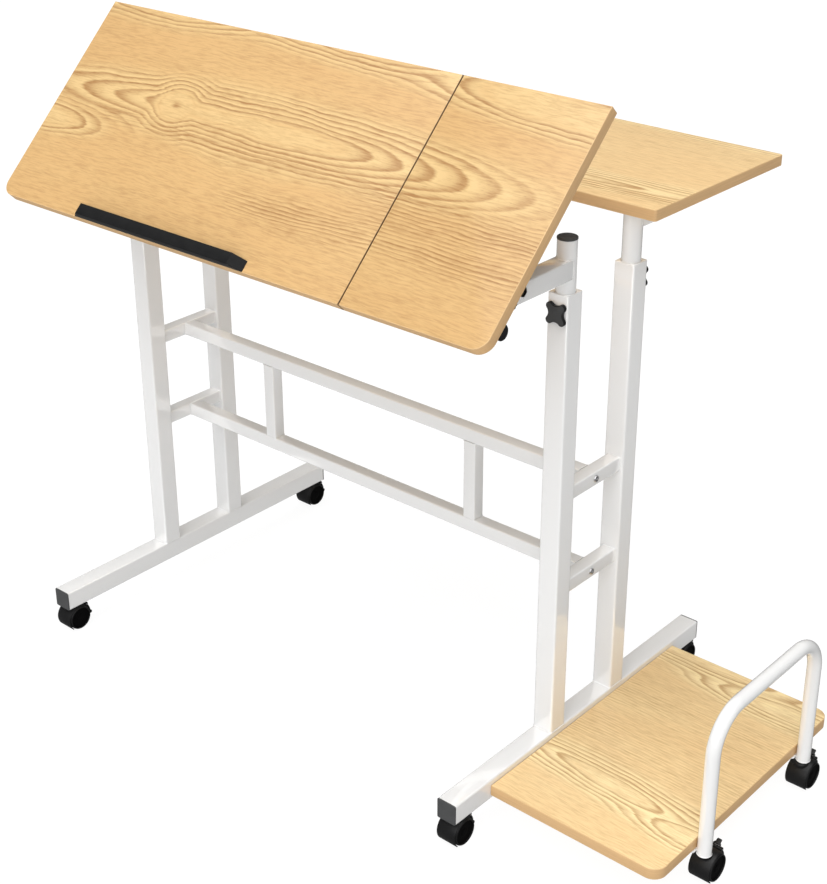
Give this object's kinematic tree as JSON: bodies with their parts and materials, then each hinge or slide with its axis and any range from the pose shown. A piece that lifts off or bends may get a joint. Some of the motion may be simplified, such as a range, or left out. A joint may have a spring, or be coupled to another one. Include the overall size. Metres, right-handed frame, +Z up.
{
  "type": "mobile laptop table",
  "caption": "Rolling steel-frame table with a tilting front top and stop ledge, a separate rear top, height-adjustable posts, and a low side shelf with a tube guard.",
  "frame": {"origin": "on the floor under the middle of the outer box", "axes": "+X towards the side shelf, +Y towards the rear top, +Z up"},
  "size_m": [1.116, 0.6465, 0.9299],
  "materials": {
    "white_powder_coat": "white semi-gloss powder coat",
    "light_oak_board": "light oak grain, satin",
    "black_plastic": "black, finely textured",
    "dark_grey_plastic": "dark grey, smooth"
  },
  "bodies": {
    "frame": {"foot_bar_left": "white_powder_coat", "foot_bar_right": "white_powder_coat", "foot_cap_front_left": "dark_grey_plastic", "foot_cap_front_right": "dark_grey_plastic", "foot_cap_rear_left": "dark_grey_plastic", "foot_cap_rear_right": "dark_grey_plastic", "rail_lower": "white_powder_coat", "rail_upper": "white_powder_coat", "rung_lower_left": "white_powder_coat", "rung_lower_right": "white_powder_coat", "rung_upper_left": "white_powder_coat", "rung_upper_right": "white_powder_coat", "shelf_guard": "white_powder_coat", "side_shelf": "light_oak_board", "spacer_left": "white_powder_coat", "spacer_right": "white_powder_coat", "upright_front_left": "white_powder_coat", "upright_front_right": "white_powder_coat", "upright_rear_left": "white_powder_coat", "upright_rear_right": "white_powder_coat"},
    "front_lift": {"front_post_left": "white_powder_coat", "front_post_right": "white_powder_coat", "front_post_cap_left": "dark_grey_plastic", "front_post_cap_right": "dark_grey_plastic"},
    "tilt_top": {"front_panel_left": "light_oak_board", "front_panel_right": "light_oak_board", "stop_ledge": "black_plastic", "cross_tube": "white_powder_coat", "cross_tube_cap_left": "black_plastic", "cross_tube_cap_right": "black_plastic", "tilt_bracket_left": "white_powder_coat", "tilt_bracket_right": "white_powder_coat"},
    "rear_lift": {"rear_post_left": "white_powder_coat", "rear_post_right": "white_powder_coat", "rear_top": "light_oak_board"},
    "clamp_knob_front_left_body": {"clamp_knob_front_left": "black_plastic"},
    "clamp_knob_rear_left_body": {"clamp_knob_rear_left": "black_plastic"},
    "tilt_lock_left_body": {"tilt_lock_left": "black_plastic"},
    "clamp_knob_front_right_body": {"clamp_knob_front_right": "black_plastic"},
    "clamp_knob_rear_right_body": {"clamp_knob_rear_right": "black_plastic"},
    "tilt_lock_right_body": {"tilt_lock_right": "black_plastic"},
    "swivel_front_left": {"caster_hood_front_left": "black_plastic"},
    "wheels_front_left": {"caster_wheels_front_left": "black_plastic"},
    "brake_front_left": {"caster_brake_front_left": "black_plastic"},
    "swivel_rear_left": {"caster_hood_rear_left": "black_plastic"},
    "wheels_rear_left": {"caster_wheels_rear_left": "black_plastic"},
    "brake_rear_left": {"caster_brake_rear_left": "black_plastic"},
    "swivel_front_right": {"caster_hood_front_right": "black_plastic"},
    "wheels_front_right": {"caster_wheels_front_right": "black_plastic"},
    "brake_front_right": {"caster_brake_front_right": "black_plastic"},
    "swivel_rear_right": {"caster_hood_rear_right": "black_plastic"},
    "wheels_rear_right": {"caster_wheels_rear_right": "black_plastic"},
    "brake_rear_right": {"caster_brake_rear_right": "black_plastic"},
    "swivel_shelf_front": {"caster_hood_shelf_front": "black_plastic"},
    "wheels_shelf_front": {"caster_wheels_shelf_front": "black_plastic"},
    "brake_shelf_front": {"caster_brake_shelf_front": "black_plastic"},
    "swivel_shelf_rear": {"caster_hood_shelf_rear": "black_plastic"},
    "wheels_shelf_rear": {"caster_wheels_shelf_rear": "black_plastic"},
    "brake_shelf_rear": {"caster_brake_shelf_rear": "black_plastic"}
  },
  "joints": [
    {"name": "front_lift_slide", "type": "slide", "parent": "frame", "child": "front_lift", "axis": [0, 0, 1], "range_m": [-0.0175, 0.23]},
    {"name": "top_tilt", "type": "hinge", "parent": "front_lift", "child": "tilt_top", "pos_m": [-0.12755, -0.20843, 0.7367], "axis": [1, 0, 0], "range_deg": [-45, 0]},
    {"name": "rear_lift_slide", "type": "slide", "parent": "frame", "child": "rear_lift", "axis": [0, 0, 1], "range_m": [-0.0445, 0.23]},
    {"name": "clamp_knob_front_left_turn", "type": "hinge", "parent": "frame", "child": "clamp_knob_front_left_body", "pos_m": [-0.51505, -0.11653, 0.6775], "axis": [0, -1, 0], "range_deg": [0, 360]},
    {"name": "clamp_knob_rear_left_turn", "type": "hinge", "parent": "frame", "child": "clamp_knob_rear_left_body", "pos_m": [-0.51505, 0.05117, 0.6775], "axis": [0, 1, 0], "range_deg": [0, 360]},
    {"name": "tilt_lock_left_turn", "type": "hinge", "parent": "front_lift", "child": "tilt_lock_left_body", "pos_m": [-0.51505, -0.24293, 0.7367], "axis": [-1, 0, 0], "range_deg": [0, 360]},
    {"name": "clamp_knob_front_right_turn", "type": "hinge", "parent": "frame", "child": "clamp_knob_front_right_body", "pos_m": [0.25995, -0.11653, 0.6775], "axis": [0, -1, 0], "range_deg": [0, 360]},
    {"name": "clamp_knob_rear_right_turn", "type": "hinge", "parent": "frame", "child": "clamp_knob_rear_right_body", "pos_m": [0.25995, 0.05117, 0.6775], "axis": [0, 1, 0], "range_deg": [0, 360]},
    {"name": "tilt_lock_right_turn", "type": "hinge", "parent": "front_lift", "child": "tilt_lock_right_body", "pos_m": [0.25995, -0.24293, 0.7367], "axis": [1, 0, 0], "range_deg": [0, 360]},
    {"name": "swivel_front_left_turn", "type": "hinge", "parent": "frame", "child": "swivel_front_left", "pos_m": [-0.51505, -0.30463, 0.041], "axis": [0, 0, 1], "continuous": true},
    {"name": "wheels_front_left_roll", "type": "hinge", "parent": "swivel_front_left", "child": "wheels_front_left", "pos_m": [-0.51505, -0.29763, 0.019], "axis": [1, 0, 0], "continuous": true},
    {"name": "brake_front_left_press", "type": "hinge", "parent": "swivel_front_left", "child": "brake_front_left", "pos_m": [-0.51505, -0.28091, 0.03406], "axis": [1, 0, 0], "range_deg": [-7, 0]},
    {"name": "swivel_rear_left_turn", "type": "hinge", "parent": "frame", "child": "swivel_rear_left", "pos_m": [-0.51505, 0.22257, 0.041], "axis": [0, 0, 1], "continuous": true},
    {"name": "wheels_rear_left_roll", "type": "hinge", "parent": "swivel_rear_left", "child": "wheels_rear_left", "pos_m": [-0.51505, 0.22957, 0.019], "axis": [1, 0, 0], "continuous": true},
    {"name": "brake_rear_left_press", "type": "hinge", "parent": "swivel_rear_left", "child": "brake_rear_left", "pos_m": [-0.51505, 0.24629, 0.03406], "axis": [1, 0, 0], "range_deg": [-7, 0]},
    {"name": "swivel_front_right_turn", "type": "hinge", "parent": "frame", "child": "swivel_front_right", "pos_m": [0.25995, -0.30463, 0.041], "axis": [0, 0, 1], "continuous": true},
    {"name": "wheels_front_right_roll", "type": "hinge", "parent": "swivel_front_right", "child": "wheels_front_right", "pos_m": [0.25995, -0.29763, 0.019], "axis": [1, 0, 0], "continuous": true},
    {"name": "brake_front_right_press", "type": "hinge", "parent": "swivel_front_right", "child": "brake_front_right", "pos_m": [0.25995, -0.28091, 0.03406], "axis": [1, 0, 0], "range_deg": [-7, 0]},
    {"name": "swivel_rear_right_turn", "type": "hinge", "parent": "frame", "child": "swivel_rear_right", "pos_m": [0.25995, 0.22257, 0.041], "axis": [0, 0, 1], "continuous": true},
    {"name": "wheels_rear_right_roll", "type": "hinge", "parent": "swivel_rear_right", "child": "wheels_rear_right", "pos_m": [0.25995, 0.22957, 0.019], "axis": [1, 0, 0], "continuous": true},
    {"name": "brake_rear_right_press", "type": "hinge", "parent": "swivel_rear_right", "child": "brake_rear_right", "pos_m": [0.25995, 0.24629, 0.03406], "axis": [1, 0, 0], "range_deg": [-7, 0]},
    {"name": "swivel_shelf_front_turn", "type": "hinge", "parent": "frame", "child": "swivel_shelf_front", "pos_m": [0.54205, -0.15173, 0.041], "axis": [0, 0, 1], "continuous": true},
    {"name": "wheels_shelf_front_roll", "type": "hinge", "parent": "swivel_shelf_front", "child": "wheels_shelf_front", "pos_m": [0.54205, -0.14473, 0.019], "axis": [1, 0, 0], "continuous": true},
    {"name": "brake_shelf_front_press", "type": "hinge", "parent": "swivel_shelf_front", "child": "brake_shelf_front", "pos_m": [0.54205, -0.12801, 0.03406], "axis": [1, 0, 0], "range_deg": [-7, 0]},
    {"name": "swivel_shelf_rear_turn", "type": "hinge", "parent": "frame", "child": "swivel_shelf_rear", "pos_m": [0.54205, 0.08877, 0.041], "axis": [0, 0, 1], "continuous": true},
    {"name": "wheels_shelf_rear_roll", "type": "hinge", "parent": "swivel_shelf_rear", "child": "wheels_shelf_rear", "pos_m": [0.54205, 0.09577, 0.019], "axis": [1, 0, 0], "continuous": true},
    {"name": "brake_shelf_rear_press", "type": "hinge", "parent": "swivel_shelf_rear", "child": "brake_shelf_rear", "pos_m": [0.54205, 0.11249, 0.03406], "axis": [1, 0, 0], "range_deg": [-7, 0]}
  ]
}
